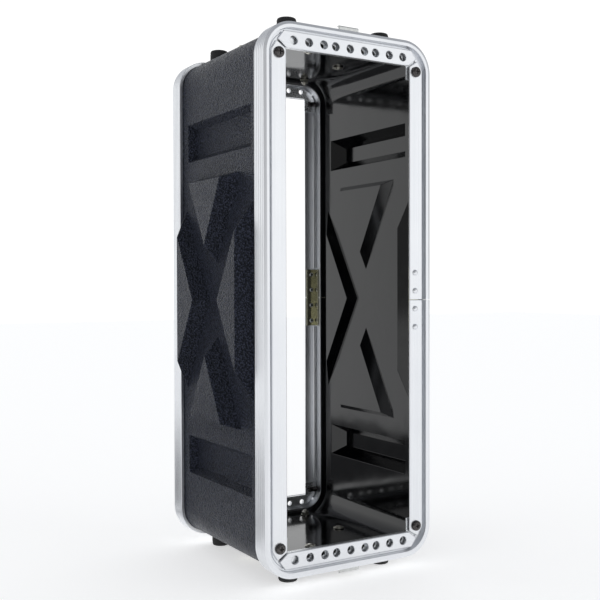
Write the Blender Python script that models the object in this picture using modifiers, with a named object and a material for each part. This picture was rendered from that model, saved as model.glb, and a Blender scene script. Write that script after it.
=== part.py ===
"""Equipment rack case: three rack units, 19-inch, moulded ABS body between two aluminium rings.

The case stands on one end, as it does when it is carried by an end handle.  X is the
direction in which the rack units stack, Y is the depth (the front opening faces -Y) and Z is
the 19-inch width.  The origin is on the floor, under the middle of the case.

Everything is modelled around the middle of the case and hangs on the empty "case_middle",
which lifts it until the four lower feet stand on the floor.
"""
import math

import bmesh
import bpy
from mathutils import Matrix, Vector

MM = 0.001
GAP = 0.3 * MM                     # clearance between pieces that touch

# ---- driving dimensions -------------------------------------------------------------------
RACK_UNITS = 3
RACK_UNIT = 44.45 * MM
HOLE_ROWS = 465.1 * MM             # between the two rows of rack holes
HOLE_OFFSETS = (6.35 * MM, 22.225 * MM, 38.1 * MM)   # holes inside each rack unit

RING_X = 184.0 * MM                # outside of the aluminium rings
RING_Z = 497.4 * MM
CASE_DEPTH = 202.0 * MM            # front rim to rear rim
RING_CORNER = 30.0 * MM
RING_BAND = 19.0 * MM              # depth of the band round the outside of a ring
RING_JOINT = 0.5 * MM              # slit where the two ends of a bent ring meet
FLANGE_WIDTH = 23.6 * MM           # from the outside of a ring to the edge of its opening
FLANGE_SETBACK = 2.2 * MM          # flange front behind the rim
FLANGE_THICK = 1.8 * MM
FLANGE_START = 8.5 * MM            # outer edge of the flange, on the far side of the groove
GROOVE_FLOOR = 6.0 * MM            # depth of the groove floor behind the rim
WEB_BACK = 7.4 * MM                # back of the web under the groove
LEG_FACE = 11.2 * MM               # inner face of the leg that stands inside the moulded body
LEG_THICK = 1.5 * MM
LEG_BACK = 15.5 * MM
EXTRUSION_WALL = 1.6 * MM
CHAMFER = (2.7 * MM, 0.9 * MM)     # across the rim and back along the band
MITRE_SLIT = 0.8 * MM
FLANGE_TIP = (77.2 * MM, 231.4 * MM)         # outer end of the mitre between two flanges
FLANGE_END_X = 70.5 * MM           # where the cut-off corner of an end flange starts
FLANGE_SIDE_Z = 222.0 * MM         # where that of a side flange starts

SHELL_INSET = 3.6 * MM             # outside of the moulded body behind the outside of the ring
SHELL_WALL = 3.0 * MM
SHELL_END = WEB_BACK + GAP         # the body ends this far behind the rim

PAD_HEIGHT = 15.0 * MM             # stacking pads on the upper face (-X)
PAD_RECESS = 8.0 * MM              # recesses under them in the lower face (+X)
POCKET_DEPTH = 8.0 * MM            # pockets in the upper face
POCKET_HALF = 69.1 * MM            # half length of a pocket, in the direction of the depth
POCKET_Z = (140.0 * MM, 178.5 * MM)
POCKET_DRAFT = 5.0 * MM
BLOCK_HEIGHT = 15.0 * MM           # stacking blocks on the lower face
BLOCK_HALF = 70.8 * MM
BLOCK_Z = (140.8 * MM, 177.7 * MM)
BLOCK_DRAFT = 8.8 * MM
WALL_BORE = 2.8 * MM               # radius of the bolts' holes in the end walls

FOOT_HEIGHT = 13.9 * MM
FOOT_RADIUS = 9.25 * MM
FOOT_X = 52.0 * MM
FOOT_Y = 71.0 * MM

STRIP_WEB_FRONT = FLANGE_SETBACK + 4.2 * MM
STRIP_WEB = 2.0 * MM
STRIP_LEG = 1.5 * MM
STRIP_HALF = 68.0 * MM
EAR_BACK = STRIP_WEB_FRONT + 0.2 * MM
EAR = [(66.4 * MM, 212.0 * MM), (80.3 * MM, 212.0 * MM), (80.3 * MM, 219.0 * MM),
       (78.0 * MM, 227.2 * MM), (72.0 * MM, 233.9 * MM), (66.4 * MM, 236.2 * MM)]
RACK_HOLE = 4.0 * MM               # radius of the clearance holes in the flange
THREAD_HOLE = 2.6 * MM             # radius of the M6 core holes in the strips

CORNER_SCREW_X = 75.8 * MM
CORNER_SCREW_Z = 220.0 * MM
RIVET_X = 75.0 * MM
RIVET_Z = (26.25 * MM, 8.75 * MM, -8.75 * MM, -26.25 * MM)
RIVET_SHANK = 1.6 * MM
JOINT_PLATE_HALF = 32.0 * MM       # half length of the plate behind a ring's joint
JOINT_PLATE_X = 69.6 * MM
JOINT_SHEET = 1.5 * MM
SCREW_SHANK = 2.4 * MM             # radius of an M5 shank

KEEPER_HALF = 10.9 * MM
KEEPER_FRONT = 4.5 * MM            # behind the rim
KEEPER_DEPTH = 12.0 * MM
KEEPER_HEIGHT = 4.4 * MM
KEEPER_SHEET = 1.3 * MM

HANDLE_BOLT_X = 52.5 * MM
HANDLE_BOLT_Y = 3.5 * MM
HANDLE_PIVOT_Y = 12.5 * MM
HANDLE_PIVOT_RISE = 3.3 * MM       # pivot above the end wall
HANDLE_ARM_X = 43.5 * MM
HANDLE_REACH = 52.0 * MM           # pivot to the middle of the grip
HANDLE_ROD = 2.5 * MM
GRIP_RADIUS = 5.5 * MM
GRIP_RISE = 7.2 * MM               # middle of the folded grip above the end wall
SADDLE_SHEET = 1.5 * MM
SADDLE_HALF = 5.0 * MM
REST_PAD_X = -8.5 * MM

# ---- derived dimensions -------------------------------------------------------------------
HALF_X = RING_X / 2
HALF_Z = RING_Z / 2
RIM_Y = -CASE_DEPTH / 2
SHELL_X = HALF_X - SHELL_INSET
SHELL_Z = HALF_Z - SHELL_INSET
SHELL_CORNER = RING_CORNER - SHELL_INSET
SHELL_Y = CASE_DEPTH / 2 - SHELL_END
INNER_Z = SHELL_Z - SHELL_WALL
OPENING_X = HALF_X - FLANGE_WIDTH
OPENING_Z = HALF_Z - FLANGE_WIDTH
STAND = SHELL_Z + GAP + FOOT_HEIGHT          # middle of the case above the floor
HOLES_X = [unit * RACK_UNIT + offset - RACK_UNITS * RACK_UNIT / 2
           for unit in range(RACK_UNITS) for offset in HOLE_OFFSETS]

# turns that carry a piece of the upper front end to the other ends of the rings
RING_TURNS = {"front_top": (0, 0, 0), "front_bottom": (0, math.pi, 0),
              "rear_bottom": (math.pi, 0, 0), "rear_top": (0, 0, math.pi)}

ALUMINIUM = ("aluminium", (0.80, 0.81, 0.82), 0.32, 1.0)
ABS = ("abs", (0.035, 0.036, 0.040), 0.48, 0.0)
RUBBER = ("rubber", (0.015, 0.015, 0.016), 0.75, 0.0)
ZINC = ("zinc", (0.56, 0.55, 0.48), 0.38, 1.0)
BLACK_STEEL = ("black_steel", (0.020, 0.020, 0.022), 0.42, 0.6)


# ---- scene and helpers ----------------------------------------------------------------------
def clear_scene():
    """Remove every object and give the model and its cutters a collection each."""
    for obj in list(bpy.data.objects):
        bpy.data.objects.remove(obj, do_unlink=True)
    groups = []
    for name in ("equipment_rack_case", "cutters"):
        group = bpy.data.collections.new(name)
        bpy.context.scene.collection.children.link(group)
        groups.append(group)
    return groups


PARTS, CUTTERS = clear_scene()
MIDDLE = bpy.data.objects.new("case_middle", None)
MIDDLE.location = (0, 0, STAND)
PARTS.objects.link(MIDDLE)


def finish_material(finish):
    """Return the Principled material for a (name, colour, roughness, metallic) finish."""
    name, colour, roughness, metallic = finish
    material = bpy.data.materials.get(name)
    if material is None:
        material = bpy.data.materials.new(name)
        material.use_nodes = True
        shader = material.node_tree.nodes["Principled BSDF"]
        shader.inputs["Base Color"].default_value = (*colour, 1)
        shader.inputs["Roughness"].default_value = roughness
        shader.inputs["Metallic"].default_value = metallic
    return material


def add_part(name, mesh, finish, location=(0, 0, 0), rotation=(0, 0, 0), parent=MIDDLE):
    """Place a mesh as a named part of the case, in the frame of its parent."""
    obj = bpy.data.objects.new(name, mesh)
    PARTS.objects.link(obj)
    obj.parent = parent
    obj.location = location
    obj.rotation_euler = rotation
    if not mesh.materials:
        mesh.materials.append(finish_material(finish))
    return obj


def mesh_of(obj):
    """Return a copy of an object's evaluated mesh, in world space, and remove the object."""
    bpy.context.view_layer.update()
    graph = bpy.context.evaluated_depsgraph_get()
    mesh = bpy.data.meshes.new_from_object(obj.evaluated_get(graph))
    mesh.transform(obj.matrix_world)
    bpy.data.objects.remove(obj, do_unlink=True)
    work = bmesh.new()
    work.from_mesh(mesh)
    bmesh.ops.remove_doubles(work, verts=work.verts, dist=1e-6)
    bmesh.ops.recalc_face_normals(work, faces=work.faces)
    work.to_mesh(mesh)
    work.free()
    return mesh


def temporary(mesh):
    """Wrap a mesh in a hidden object of the cutters' collection."""
    obj = bpy.data.objects.new("temporary", mesh)
    obj.hide_render = True
    obj.display_type = "WIRE"
    CUTTERS.objects.link(obj)
    return obj


def combine(mesh, tools, operation):
    """Return the mesh joined with, or cut by, each of the tool meshes in turn."""
    body = temporary(mesh)
    helpers = []
    for tool in tools:
        helper = temporary(tool)
        helpers.append(helper)
        step = body.modifiers.new("step", "BOOLEAN")
        step.operation = operation
        step.solver = "EXACT"
        step.object = helper
    result = mesh_of(body)
    for helper in helpers:
        bpy.data.objects.remove(helper, do_unlink=True)
    return result


def box(low, high):
    """Return a box between two corners."""
    work = bmesh.new()
    size = Vector(high) - Vector(low)
    place = Matrix.Translation((Vector(high) + Vector(low)) / 2)
    bmesh.ops.create_cube(work, size=1.0, matrix=place @ Matrix.Diagonal((*size, 1)))
    return to_mesh(work)


def cylinder(radius, start, end, sides=12):
    """Return a cylinder between two points."""
    start, end = Vector(start), Vector(end)
    axis = end - start
    turn = axis.to_track_quat("Z", "Y").to_matrix().to_4x4()
    work = bmesh.new()
    bmesh.ops.create_cone(work, cap_ends=True, segments=sides, radius1=radius, radius2=radius,
                          depth=axis.length, matrix=Matrix.Translation((start + end) / 2) @ turn)
    return to_mesh(work)


def to_mesh(work):
    """Turn a bmesh into a mesh and free it."""
    mesh = bpy.data.meshes.new("shape")
    work.to_mesh(mesh)
    work.free()
    return mesh


def smooth(mesh, angle=35):
    """Shade a round piece smooth, with its real edges left sharp."""
    mesh.shade_smooth()
    mesh.set_sharp_from_angle(angle=math.radians(angle))
    return mesh


def turned(profile, steps, closed=False):
    """Return the solid that an (r, z) profile makes when it is turned round Z."""
    mesh = bpy.data.meshes.new("profile")
    count = len(profile)
    edges = [(i, i + 1) for i in range(count - 1)] + ([(count - 1, 0)] if closed else [])
    mesh.from_pydata([(r, 0, z) for r, z in profile], edges, [])
    obj = temporary(mesh)
    screw = obj.modifiers.new("turn", "SCREW")
    screw.steps = steps
    screw.render_steps = steps
    screw.use_merge_vertices = True
    screw.merge_threshold = 1e-6
    return smooth(mesh_of(obj))


def curve_object(name, points, cyclic, flat):
    """Return a straight-segment curve through the points."""
    curve = bpy.data.curves.new(name, "CURVE")
    curve.dimensions = "2D" if flat else "3D"
    spline = curve.splines.new("POLY")
    spline.points.add(len(points) - 1)
    for point, place in zip(spline.points, points):
        point.co = (*place, 1) if len(place) == 3 else (*place, 0, 1)
    spline.use_cyclic_u = cyclic
    obj = bpy.data.objects.new(name, curve)
    CUTTERS.objects.link(obj)
    return obj


def plate(outline, y_low, y_high):
    """Return a flat plate with an (x, z) outline between two depths."""
    obj = curve_object("plate", [(x, z) for x, z in outline], True, True)
    obj.data.fill_mode = "BOTH"
    obj.data.extrude = abs(y_high - y_low) / 2
    obj.rotation_euler = (math.pi / 2, 0, 0)
    obj.location = (0, (y_low + y_high) / 2, 0)
    return mesh_of(obj)


def rod(points, radius):
    """Return a round rod with closed ends along the points."""
    obj = curve_object("rod", points, False, False)
    obj.data.bevel_depth = radius
    obj.data.bevel_resolution = 2
    obj.data.use_fill_caps = True
    return smooth(mesh_of(obj))


def rounded_corners(half_x, half_z, radius, segments):
    """Yield the four corners of a rounded rectangle as lists of (x, z) points."""
    for corner, (side_x, side_z) in enumerate(((1, 1), (-1, 1), (-1, -1), (1, -1))):
        centre = (side_x * (half_x - radius), side_z * (half_z - radius))
        yield [(centre[0] + radius * math.cos(math.pi / 2 * (corner + i / segments)),
                centre[1] + radius * math.sin(math.pi / 2 * (corner + i / segments)))
               for i in range(segments + 1)]


# ---- aluminium rings --------------------------------------------------------------------------
def ring_section():
    """Return the extrusion's section: (inward from the outside, back from the rim)."""
    lip = SHELL_INSET - GAP
    root = FLANGE_SETBACK + FLANGE_THICK + 0.2 * MM
    wall, rim, web = EXTRUSION_WALL, 5.6 * MM, WEB_BACK - GROOVE_FLOOR
    return [(lip, RING_BAND), (0, RING_BAND), (0, CHAMFER[1]), (CHAMFER[0], 0),
            (rim, 0), (rim, GROOVE_FLOOR), (FLANGE_START, GROOVE_FLOOR),
            (FLANGE_START, root), (LEG_FACE, root), (LEG_FACE, LEG_BACK),
            (LEG_FACE - LEG_THICK, LEG_BACK), (LEG_FACE - LEG_THICK, WEB_BACK),
            (rim - web, WEB_BACK), (rim - web, wall), (wall, wall),
            (wall, RING_BAND - web), (lip, RING_BAND - web)]


def ring_sweep():
    """Return the extrusion bent round the opening, with a slit in the middle of its +X side."""
    path = [(HALF_X, RING_JOINT / 2)]
    for corner in rounded_corners(HALF_X, HALF_Z, RING_CORNER, 6):
        path += corner
    path.append((HALF_X, -RING_JOINT / 2))
    section = curve_object("section", [(-inward, -back) for inward, back in ring_section()],
                           True, True)
    sweep = curve_object("sweep", path, False, True)
    sweep.data.bevel_mode = "OBJECT"
    sweep.data.bevel_object = section
    sweep.data.use_fill_caps = True
    sweep.rotation_euler = (math.pi / 2, 0, 0)
    sweep.location = (0, RIM_Y, 0)
    mesh = mesh_of(sweep)
    bpy.data.objects.remove(section, do_unlink=True)
    return mesh


def flange_outlines():
    """Return the (x, z) outlines of the end flange and the side flange, mitred at the corners."""
    edge_x, edge_z = HALF_X - FLANGE_START, HALF_Z - FLANGE_START
    slit, tip = MITRE_SLIT, Vector(FLANGE_TIP)
    end = [(OPENING_X - slit, OPENING_Z), (tip.x - slit, tip.y + slit), (FLANGE_END_X, edge_z)]
    side = [(OPENING_X, OPENING_Z - slit), (tip.x + slit, tip.y - slit),
            (edge_x, FLANGE_SIDE_Z)]
    end_flange = end + [(-x, z) for x, z in reversed(end)]
    side_flange = side + [(x, -z) for x, z in reversed(side)]
    return end_flange, side_flange


def ring_mesh():
    """Return the front ring: bent extrusion, notched flange, rack holes and fixing holes."""
    front = RIM_Y + FLANGE_SETBACK
    back = front + FLANGE_THICK
    root = (back - FLANGE_THICK / 2, back + 1.0 * MM)
    wall_x = (HALF_X - LEG_FACE + 0.3 * MM, HALF_X - FLANGE_START)
    wall_z = (HALF_Z - LEG_FACE + 0.3 * MM, HALF_Z - FLANGE_START)
    root_x, root_z = 62 * MM, HALF_Z - RING_CORNER - 0.7 * MM
    end_flange, side_flange = flange_outlines()
    pieces = []
    for side in (1, -1):
        pieces.append(plate([(x, side * z) for x, z in end_flange], front, back))
        pieces.append(plate([(side * x, z) for x, z in side_flange], front, back))
        low, high = sorted((side * wall_z[0], side * wall_z[1]))
        pieces.append(box((-root_x, root[0], low), (root_x, root[1], high)))
        low, high = sorted((side * wall_x[0], side * wall_x[1]))
        pieces.append(box((low, root[0], -root_z), (high, root[1], root_z)))
    ring = combine(ring_sweep(), pieces, "UNION")
    before, behind = RIM_Y - 1 * MM, RIM_Y + 5.5 * MM
    cuts = [box((OPENING_X - 1 * MM, before, -RING_JOINT / 2),
                (HALF_X + 1 * MM, RIM_Y + RING_BAND + 1 * MM, RING_JOINT / 2))]
    for x in HOLES_X:
        for z in (HOLE_ROWS / 2, -HOLE_ROWS / 2):
            cuts.append(cylinder(RACK_HOLE, (x, before, z), (x, behind, z)))
    for x in (CORNER_SCREW_X, -CORNER_SCREW_X):
        for z in (CORNER_SCREW_Z, -CORNER_SCREW_Z):
            cuts.append(cylinder(SCREW_SHANK + 0.4 * MM, (x, before, z), (x, behind, z), 8))
    for z in RIVET_Z:
        cuts.append(cylinder(RIVET_SHANK + GAP, (RIVET_X, before, z), (RIVET_X, behind, z), 8))
    return combine(ring, cuts, "DIFFERENCE")


def make_rings():
    """Make the front ring, and the rear ring as the same ring turned round X."""
    mesh = ring_mesh()
    add_part("front_ring", mesh, ALUMINIUM)
    add_part("rear_ring", mesh, ALUMINIUM, rotation=(math.pi, 0, 0))


# ---- moulded body -----------------------------------------------------------------------------
def offset_outline(outline, distance):
    """Return a convex outline moved outwards by a distance (inwards if it is negative)."""
    count = len(outline)
    area = sum(outline[i][0] * outline[(i + 1) % count][1]
               - outline[(i + 1) % count][0] * outline[i][1] for i in range(count))
    reach = distance if area > 0 else -distance
    moved = []
    for i in range(count):
        a, b = Vector(outline[i]), Vector(outline[(i + 1) % count])
        along = (b - a).normalized()
        shift = Vector((along.y, -along.x)) * reach
        moved.append((a + shift, b + shift))
    corners = []
    for i in range(count):
        (a, b), (c, d) = moved[i - 1], moved[i]
        ab, cd = b - a, d - c
        scale = (c - a).cross(cd) / ab.cross(cd)
        corners.append(tuple(a + ab * scale))
    return corners


def drafted_block(base, top, x_base, x_top):
    """Return a block between a (y, z) outline at x_base and a smaller one at x_top."""
    work = bmesh.new()
    face = work.faces.new([work.verts.new((x_base, y, z)) for y, z in base])
    grown = bmesh.ops.extrude_face_region(work, geom=[face], use_keep_orig=True)
    corners = [item for item in grown["geom"] if isinstance(item, bmesh.types.BMVert)]
    for vertex in corners:
        index = min(range(len(base)), key=lambda i: (Vector((vertex.co.y, vertex.co.z))
                                                     - Vector(base[i])).length)
        vertex.co = (x_top, *top[index])
    bmesh.ops.recalc_face_normals(work, faces=work.faces)
    return to_mesh(work)


def pad_outlines():
    """Return (base, top) outlines of the four pads that leave an X-shaped valley between them."""
    end_base = [(-46.7, 120.0), (46.7, 120.0), (0.0, 34.5)]
    end_top = [(-35.0, 115.0), (35.0, 115.0), (0.0, 53.0)]
    side_base = [(73.9, 93.5), (73.9, -93.5), (18.3, 0.0)]
    side_top = [(65.0, 65.0), (65.0, -65.0), (27.1, 0.0)]
    outlines = []
    for base, top in ((end_base, end_top), (side_base, side_top)):
        for flip in (1, -1):
            outlines.append(tuple([(y * flip * MM, z * flip * MM) for y, z in shape]
                                  for shape in (base, top)))
    return outlines


def end_rectangles(half_y, heights, draft):
    """Return (base, top) outlines of the two rectangles near the ends of a face."""
    outlines = []
    for side in (1, -1):
        low, high = side * heights[0], side * heights[1]
        base = [(-half_y, low), (half_y, low), (half_y, high), (-half_y, high)]
        outlines.append((base, offset_outline(base, -draft)))
    return outlines


def skin_tools(depth, spread):
    """Return the reliefs (raised, sunk) of the body's skin that lies this deep in the wall.

    The outer skin has depth 0.  The inner skin lies one wall thickness in, and there a raised
    relief is narrower by spread and a sunk one wider by it.
    """
    upper, lower = -(SHELL_X - depth), SHELL_X - depth
    root = 2 * MM
    raised, sunk = [], []
    pockets = end_rectangles(POCKET_HALF, POCKET_Z, POCKET_DRAFT)
    blocks = end_rectangles(BLOCK_HALF, BLOCK_Z, BLOCK_DRAFT)
    for base, top in pad_outlines():
        low, high = offset_outline(base, -spread), offset_outline(top, -spread)
        raised.append(rooted(low, high, upper, -PAD_HEIGHT, root))
        low, high = offset_outline(base, spread), offset_outline(top, spread)
        sunk.append(rooted(low, high, lower, -PAD_RECESS, root))
    for base, top in pockets:
        low, high = offset_outline(base, spread), offset_outline(top, spread)
        sunk.append(rooted(low, high, upper, POCKET_DEPTH, root))
    for base, top in blocks:
        low, high = offset_outline(base, -spread), offset_outline(top, -spread)
        raised.append(rooted(low, high, lower, BLOCK_HEIGHT, root))
    return raised, sunk


def rooted(base, top, x_face, rise, root):
    """Return a drafted block on a face, carried on past the face by its root."""
    share = -root / abs(rise)
    start = [tuple(Vector(b) + (Vector(t) - Vector(b)) * share) for b, t in zip(base, top)]
    return drafted_block(start, top, x_face - math.copysign(root, rise), x_face + rise)


def skin(depth, half_length):
    """Return the body's solid shape to one of its two skins."""
    outline = []
    radius = SHELL_CORNER - depth
    for corner in rounded_corners(SHELL_X - depth, SHELL_Z - depth, radius, 6):
        outline += corner
    solid = plate(outline, -half_length, half_length)
    slope = math.radians(30)
    spread = depth * (1 / math.cos(slope) - math.tan(slope))
    raised, sunk = skin_tools(depth, spread)
    return combine(combine(solid, raised, "UNION"), sunk, "DIFFERENCE")


def wall_bores():
    """Return cutters for the bolts that pass through the two end walls."""
    places = [(x, y) for x in (FOOT_X, -FOOT_X) for y in (FOOT_Y, -FOOT_Y)]
    places += [(HANDLE_BOLT_X, HANDLE_BOLT_Y), (-HANDLE_BOLT_X, HANDLE_BOLT_Y)]
    cuts = []
    for side in (1, -1):
        for x, y in places:
            cuts.append(cylinder(WALL_BORE, (x, y, side * (INNER_Z - 2 * MM)),
                                 (x, y, side * (SHELL_Z + 2 * MM)), 8))
    return cuts


def make_shell():
    """Make the moulded body: the outer skin less the inner one, open at both ends."""
    outer = skin(0.0, SHELL_Y)
    inner = skin(SHELL_WALL, SHELL_Y + 5 * MM)
    mesh = combine(combine(outer, [inner], "DIFFERENCE"), wall_bores(), "DIFFERENCE")
    add_part("abs_shell", mesh, ABS)


# ---- rack strips --------------------------------------------------------------------------------
def strip_mesh(holes):
    """Return a rack strip, as the upper front one lies: a threaded angle with two ears.

    holes are the places of its threaded holes along X.
    """
    low = OPENING_Z + 0.2 * MM
    high = HALF_Z - LEG_FACE - GAP
    seat = RIM_Y + FLANGE_SETBACK + FLANGE_THICK + GAP
    web = RIM_Y + STRIP_WEB_FRONT
    half, short, step = STRIP_HALF, STRIP_HALF - 7.0 * MM, 1.8 * MM
    outline = [(-half, low), (half, low), (half, high - step), (short, high),
               (-short, high), (-half, high - step)]
    body = plate(outline, web, web + STRIP_WEB)
    pieces = [box((-half, seat, low), (half, web + STRIP_WEB / 2, low + STRIP_LEG))]
    for side in (1, -1):
        pieces.append(plate([(side * x, z) for x, z in EAR], seat, RIM_Y + EAR_BACK))
    body = combine(body, pieces, "UNION")
    before, behind = seat - 1 * MM, web + STRIP_WEB + 1 * MM
    cuts = [cylinder(THREAD_HOLE, (x, web - 0.5 * MM, HOLE_ROWS / 2),
                     (x, behind, HOLE_ROWS / 2), 8) for x in holes]
    for x in (CORNER_SCREW_X, -CORNER_SCREW_X):
        cuts.append(cylinder(SCREW_SHANK + GAP, (x, before, CORNER_SCREW_Z),
                             (x, behind, CORNER_SCREW_Z), 8))
    return combine(body, cuts, "DIFFERENCE")


def make_rack_strips():
    """Make the four strips behind the end flanges, each left blank at its -X end."""
    plain, mirrored = strip_mesh(HOLES_X[1:]), strip_mesh(HOLES_X[:-1])
    for place, mesh in (("front_top", plain), ("front_bottom", mirrored),
                        ("rear_bottom", plain), ("rear_top", mirrored)):
        add_part("rack_strip_" + place, mesh, ZINC, rotation=RING_TURNS[place])


# ---- fasteners of the rings -----------------------------------------------------------------------
def pan_head(radius, height, shank_radius, length):
    """Return the (r, z) profile of a pan-head screw whose head rises from z = 0."""
    return [(0, height), (0.55 * radius, height), (0.85 * radius, 0.8 * height),
            (radius, 0.4 * height), (radius, 0), (shank_radius, 0),
            (shank_radius, -length), (0, -length)]


def make_corner_screws():
    """Make the black cross-head screws, each with its clip nut behind a rack strip's ear."""
    screw = turned(pan_head(5.0 * MM, 3.0 * MM, SCREW_SHANK, 12.0 * MM), 12)
    under = FLANGE_SETBACK - EAR_BACK - 2 * GAP
    nut = box((-6.0 * MM, -2.6 * MM, under - 2.4 * MM), (4.2 * MM, 2.6 * MM, under))
    arm, width, floor, above = 2.6 * MM, 0.55 * MM, 1.6 * MM, 5 * MM
    cross = combine(box((-arm, -width, floor), (arm, width, above)),
                    [box((-width, -arm, floor), (width, arm, above))], "UNION")
    mesh = smooth(combine(combine(screw, [nut], "UNION"), [cross], "DIFFERENCE"))
    seat = -RIM_Y - FLANGE_SETBACK + GAP
    for face, side in (("front", -1), ("rear", 1)):
        for level, z in (("top", CORNER_SCREW_Z), ("bottom", -CORNER_SCREW_Z)):
            for hand, x, spin in (("left", -CORNER_SCREW_X, math.pi),
                                  ("right", CORNER_SCREW_X, 0)):
                add_part(f"corner_screw_{face}_{level}_{hand}", mesh, BLACK_STEEL,
                         (x, side * seat, z), (-side * math.pi / 2, spin, 0))


def make_joints():
    """Make the angle plate behind each ring's joint, and its four dome rivets."""
    back = RIM_Y + FLANGE_SETBACK + FLANGE_THICK + GAP
    outer, half, sheet = HALF_X - LEG_FACE - GAP, JOINT_PLATE_HALF, JOINT_SHEET
    flat = box((JOINT_PLATE_X, back, -half), (outer, back + sheet, half))
    leg = box((outer - sheet, back + sheet / 3, -half), (outer, RIM_Y + 13 * MM, half))
    body = combine(flat, [leg], "UNION")
    cuts = [cylinder(RIVET_SHANK + GAP, (RIVET_X, back - sheet, z),
                     (RIVET_X, back + 2 * sheet, z), 8) for z in RIVET_Z]
    mesh = combine(body, cuts, "DIFFERENCE")
    add_part("joint_plate_front", mesh, ZINC)
    add_part("joint_plate_rear", mesh, ZINC, rotation=(math.pi, 0, 0))
    length, tail = FLANGE_THICK + sheet + 3 * GAP, 1.2 * MM
    rivet = turned([(0, 1.7 * MM), (1.5 * MM, 1.4 * MM), (2.8 * MM, 0), (RIVET_SHANK, 0),
                    (RIVET_SHANK, -length), (2.3 * MM, -length),
                    (2.0 * MM, -length - tail), (0, -length - tail)], 10)
    seat = -RIM_Y - FLANGE_SETBACK + GAP
    for face, side in (("front", -1), ("rear", 1)):
        for number, z in enumerate(RIVET_Z, 1):
            add_part(f"joint_rivet_{face}_{number}", rivet, ALUMINIUM,
                     (RIVET_X, side * seat, z), (-side * math.pi / 2, 0, 0))


def make_keepers():
    """Make the catch plates on which the lids' latches pull, one in the middle of each end."""
    near, base, half = RIM_Y + KEEPER_FRONT, HALF_Z + GAP, KEEPER_HALF
    sheet, top = KEEPER_SHEET, base + KEEPER_HEIGHT
    foot = box((-half, near, base), (half, near + KEEPER_DEPTH, base + sheet))
    lip = box((-half, near, base + 0.5 * MM), (half, near + sheet, top - 0.2 * MM))
    hook = box((-half, near, top - 1.2 * MM), (half, near + 3.4 * MM, top))
    mesh = combine(foot, [lip, hook], "UNION")
    for place, turn in RING_TURNS.items():
        add_part("keeper_" + place, mesh, ZINC, rotation=turn)


# ---- feet and handles on the end walls ----------------------------------------------------------------
def end_turn(side):
    """Return the rotation that points local Z out of the upper (1) or lower (-1) end wall."""
    return (0, 0, 0) if side > 0 else (0, math.pi, 0)


def make_feet():
    """Make the eight rubber feet and the screws, with their nuts, that hold them."""
    well, bore = 5.6 * MM, 2.9 * MM
    floor, shank, nut = 5 * MM, SCREW_SHANK, 4.6 * MM
    foot = turned([(FOOT_RADIUS - 1.6 * MM, FOOT_HEIGHT),
                   (FOOT_RADIUS - 0.5 * MM, FOOT_HEIGHT - 1.2 * MM), (FOOT_RADIUS, 0),
                   (bore, 0), (bore, floor), (well, floor), (well, FOOT_HEIGHT)], 16,
                  closed=True)
    grip = SHELL_WALL + 2 * GAP
    screw = turned([(0, 8.4 * MM), (3.0 * MM, 8.2 * MM), (4.6 * MM, floor + GAP),
                    (shank, floor + GAP), (shank, -grip), (nut, -grip),
                    (nut, -grip - 3.4 * MM), (shank, -grip - 3.4 * MM),
                    (shank, -grip - 6 * MM), (0, -grip - 6 * MM)], 10)
    for level, side in (("top", 1), ("bottom", -1)):
        for face, y in (("front", -FOOT_Y), ("rear", FOOT_Y)):
            for hand, x in (("left", -FOOT_X), ("right", FOOT_X)):
                where = (x, y, side * (SHELL_Z + GAP))
                tag = f"{level}_{face}_{hand}"
                add_part("foot_" + tag, foot, RUBBER, where, end_turn(side))
                add_part("foot_screw_" + tag, screw, ZINC, where, end_turn(side))


def saddle_mesh():
    """Return a pressed saddle that arches over the handle's pin, with a bolt hole beside it."""
    rise = HANDLE_PIVOT_RISE - GAP
    bore = HANDLE_ROD + GAP
    arch = [(math.cos(math.pi * i / 8), math.sin(math.pi * i / 8)) for i in range(9)]
    outer = bore + SADDLE_SHEET
    flat = math.sqrt(outer ** 2 - (rise - SADDLE_SHEET) ** 2)
    back, front = HANDLE_PIVOT_Y + 9.0 * MM, HANDLE_BOLT_Y - 5.5 * MM
    outline = [(back, 0), (back, SADDLE_SHEET), (HANDLE_PIVOT_Y + flat, SADDLE_SHEET)]
    outline += [(HANDLE_PIVOT_Y + outer * y, rise + outer * z) for y, z in arch]
    outline += [(HANDLE_PIVOT_Y - flat, SADDLE_SHEET), (front, SADDLE_SHEET), (front, 0),
                (HANDLE_PIVOT_Y - bore, 0)]
    outline += [(HANDLE_PIVOT_Y + bore * y, rise + bore * z) for y, z in reversed(arch)]
    outline.append((HANDLE_PIVOT_Y + bore, 0))
    body = drafted_block(outline, outline, -SADDLE_HALF, SADDLE_HALF)
    bolt = cylinder(WALL_BORE, (0, HANDLE_BOLT_Y, -1 * MM), (0, HANDLE_BOLT_Y, 4 * MM), 8)
    return combine(body, [bolt], "DIFFERENCE")


def handle_path():
    """Return the bent rod's points in the pivot's frame, folded flat with its grip at -Y."""
    pin_end, arm = HANDLE_BOLT_X + 4.6 * MM, HANDLE_ARM_X
    bend = 5.0 * MM
    rise = GRIP_RISE - HANDLE_PIVOT_RISE
    half = [(pin_end, 0, 0), (arm + 2.5 * MM, 0, 0), (arm + 0.7 * MM, -0.7 * MM, 0.1 * MM),
            (arm, -2.5 * MM, 0.3 * MM)]
    for i in range(4):
        angle = math.pi / 2 * i / 3
        back = HANDLE_REACH - bend + bend * math.sin(angle)
        half.append((arm - bend + bend * math.cos(angle), -back,
                     rise * min(1.0, back / (HANDLE_REACH - bend))))
    return half + [(-x, y, z) for x, y, z in reversed(half)]


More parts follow.
